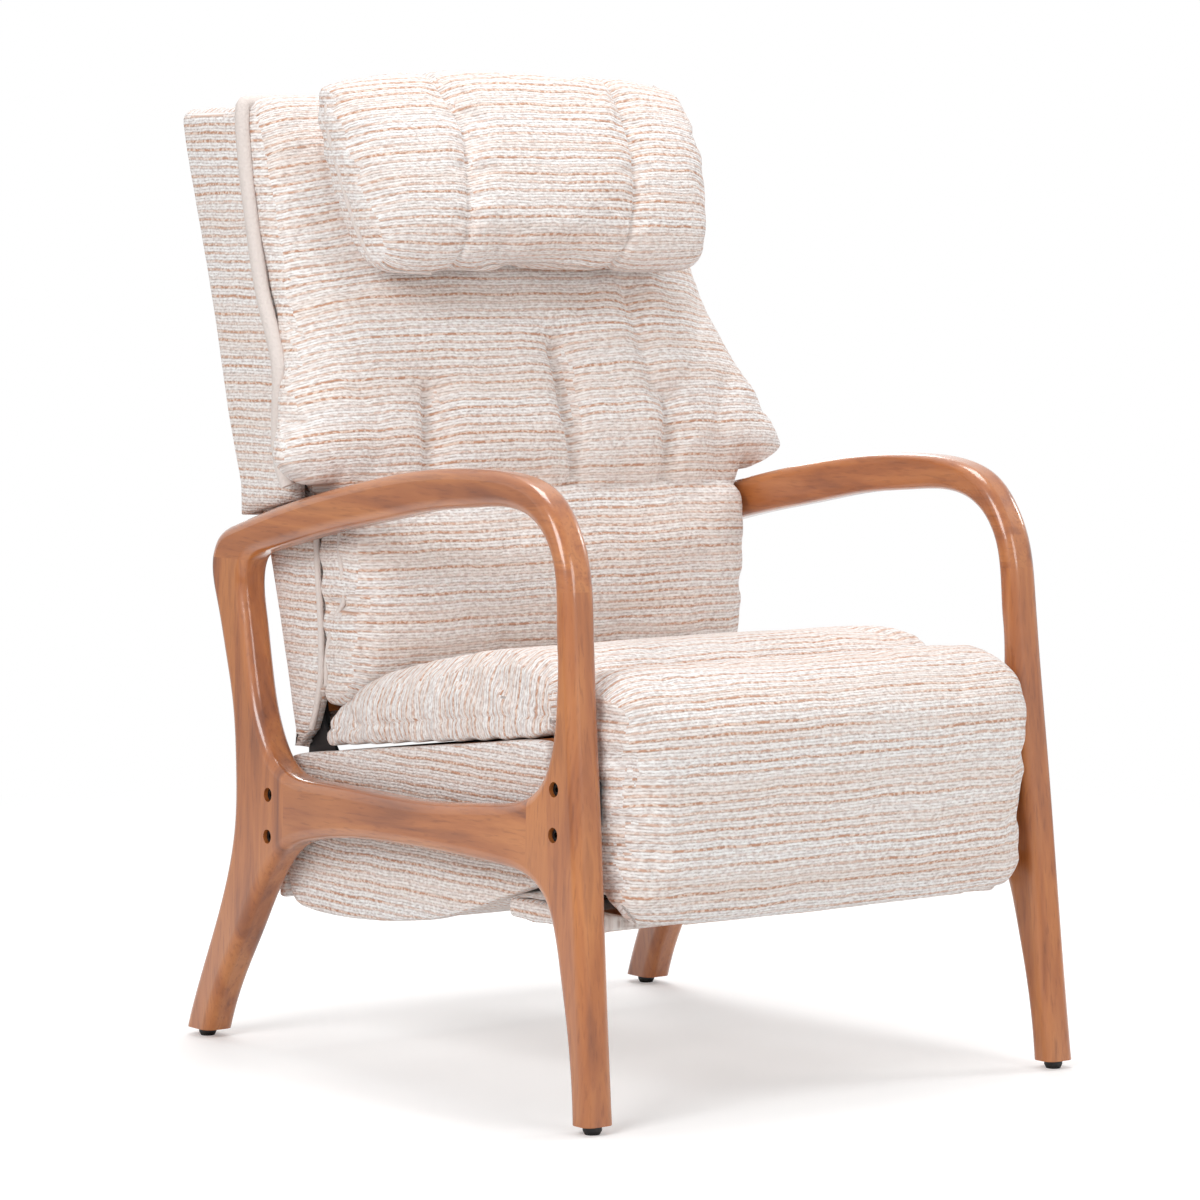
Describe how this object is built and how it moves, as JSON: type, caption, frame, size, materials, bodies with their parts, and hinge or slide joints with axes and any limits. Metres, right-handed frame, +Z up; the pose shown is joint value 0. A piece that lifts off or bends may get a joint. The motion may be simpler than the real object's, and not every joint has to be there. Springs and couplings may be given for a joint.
{
  "type": "power recliner",
  "caption": "Power recliner with open curved wooden side frames, striped tweed seat and back, headrest pillow, lifting leg rest and folding foot flap.",
  "frame": {"origin": "on the floor under the middle of the bounding box, chair upright", "axes": "+Z up, the sitter faces -Y, +X is the sitter's left"},
  "size_m": [0.6644, 0.7993, 1.0561],
  "materials": {
    "wood": "satin lacquered cherry-brown hardwood",
    "upholstery": "cream tweed with fine brown stripes",
    "black_steel": "black powder coat",
    "zinc_steel": "zinc plated",
    "rod_steel": "ground and chromed",
    "black_bolt": "black oxide",
    "black_plastic": "fine texture",
    "button_plastic": "fine texture",
    "webbing": "woven elastic webbing",
    "dust_cloth": "cream tweed, plain side",
    "inner_wood": "unfinished plywood"
  },
  "bodies": {
    "base": {"left_front_leg": "wood", "right_front_leg": "wood", "left_rear_leg": "wood", "right_rear_leg": "wood", "left_arm": "wood", "right_arm": "wood", "left_side_rail": "wood", "right_side_rail": "wood", "left_base_rail": "black_steel", "right_base_rail": "black_steel", "left_mechanism_plate": "black_steel", "right_mechanism_plate": "black_steel", "left_seat_side": "upholstery", "right_seat_side": "upholstery", "frame_bolts": "black_bolt", "foot_glides": "black_plastic", "front_cross_tube": "black_steel", "rear_cross_tube": "black_steel", "under_cover": "dust_cloth", "rear_apron": "upholstery", "seat_deck": "inner_wood", "seat_webbing": "webbing", "seat_cushion": "upholstery", "leg_actuator": "black_plastic", "leg_motor": "black_plastic", "back_actuator": "black_plastic", "back_motor": "black_plastic", "control_box": "black_plastic", "power_inlet": "black_plastic", "control_panel": "black_plastic"},
    "lift": {"torque_tube": "black_steel", "leg_crank": "zinc_steel", "left_lift_link": "zinc_steel", "right_lift_link": "zinc_steel"},
    "pad": {"leg_rest_board": "inner_wood", "leg_rest_pad": "upholstery", "pad_pins": "zinc_steel", "flap_arms": "black_steel", "flap_pins": "zinc_steel", "left_pad_bracket": "black_steel", "right_pad_bracket": "black_steel"},
    "flap": {"foot_flap_board": "inner_wood", "foot_flap_pad": "upholstery"},
    "leg_rod": {"leg_actuator_rod": "rod_steel"},
    "back_rod": {"back_actuator_rod": "rod_steel"},
    "back": {"back_shell": "upholstery", "back_rails": "inner_wood", "back_straps": "webbing", "back_crank": "zinc_steel", "back_cushion": "upholstery", "headrest_pillow": "upholstery", "hinge_pins": "zinc_steel", "left_back_stile": "inner_wood", "right_back_stile": "inner_wood", "left_back_bracket": "black_steel", "right_back_bracket": "black_steel"},
    "back_up_button_body": {"back_up_button": "button_plastic"},
    "back_down_button_body": {"back_down_button": "button_plastic"},
    "leg_up_button_body": {"leg_up_button": "button_plastic"},
    "leg_down_button_body": {"leg_down_button": "button_plastic"}
  },
  "joints": [
    {"name": "leg_lift", "type": "hinge", "parent": "base", "child": "lift", "pos_m": [0, -0.24361, 0.216], "axis": [1, 0, 0], "range_deg": [0, 78]},
    {"name": "pad_turn", "type": "hinge", "parent": "lift", "child": "pad", "pos_m": [0, -0.25161, 0.332], "axis": [-1, 0, 0], "range_deg": [0, 153]},
    {"name": "flap_turn", "type": "hinge", "parent": "pad", "child": "flap", "pos_m": [0, -0.33161, 0.206], "axis": [-1, 0, 0], "range_deg": [0, 88]},
    {"name": "leg_rod_slide", "type": "slide", "parent": "base", "child": "leg_rod", "axis": [0, -1, 0], "range_m": [0, 0.0405]},
    {"name": "back_recline", "type": "hinge", "parent": "base", "child": "back", "pos_m": [0, 0.18339, 0.352], "axis": [-1, 0, 0], "range_deg": [0, 36]},
    {"name": "back_rod_slide", "type": "slide", "parent": "base", "child": "back_rod", "axis": [0, -1, 0], "range_m": [0, 0.04335]},
    {"name": "back_up_button_press", "type": "slide", "parent": "base", "child": "back_up_button_body", "axis": [-1, 0, 0], "range_m": [0, 0.0015], "stiffness_N_per_m": 300, "springref_m": -0.0005},
    {"name": "back_down_button_press", "type": "slide", "parent": "base", "child": "back_down_button_body", "axis": [-1, 0, 0], "range_m": [0, 0.0015], "stiffness_N_per_m": 300, "springref_m": -0.0005},
    {"name": "leg_up_button_press", "type": "slide", "parent": "base", "child": "leg_up_button_body", "axis": [-1, 0, 0], "range_m": [0, 0.0015], "stiffness_N_per_m": 300, "springref_m": -0.0005},
    {"name": "leg_down_button_press", "type": "slide", "parent": "base", "child": "leg_down_button_body", "axis": [-1, 0, 0], "range_m": [0, 0.0015], "stiffness_N_per_m": 300, "springref_m": -0.0005}
  ],
  "couplings": [
    {"joint": "pad_turn", "follows": "leg_lift", "ratio": 1.9615},
    {"joint": "flap_turn", "follows": "leg_lift", "ratio": 1.128},
    {"joint": "leg_rod_slide", "follows": "leg_lift", "m_per_rad": 0.02974},
    {"joint": "back_rod_slide", "follows": "back_recline", "m_per_rad": 0.06899}
  ]
}
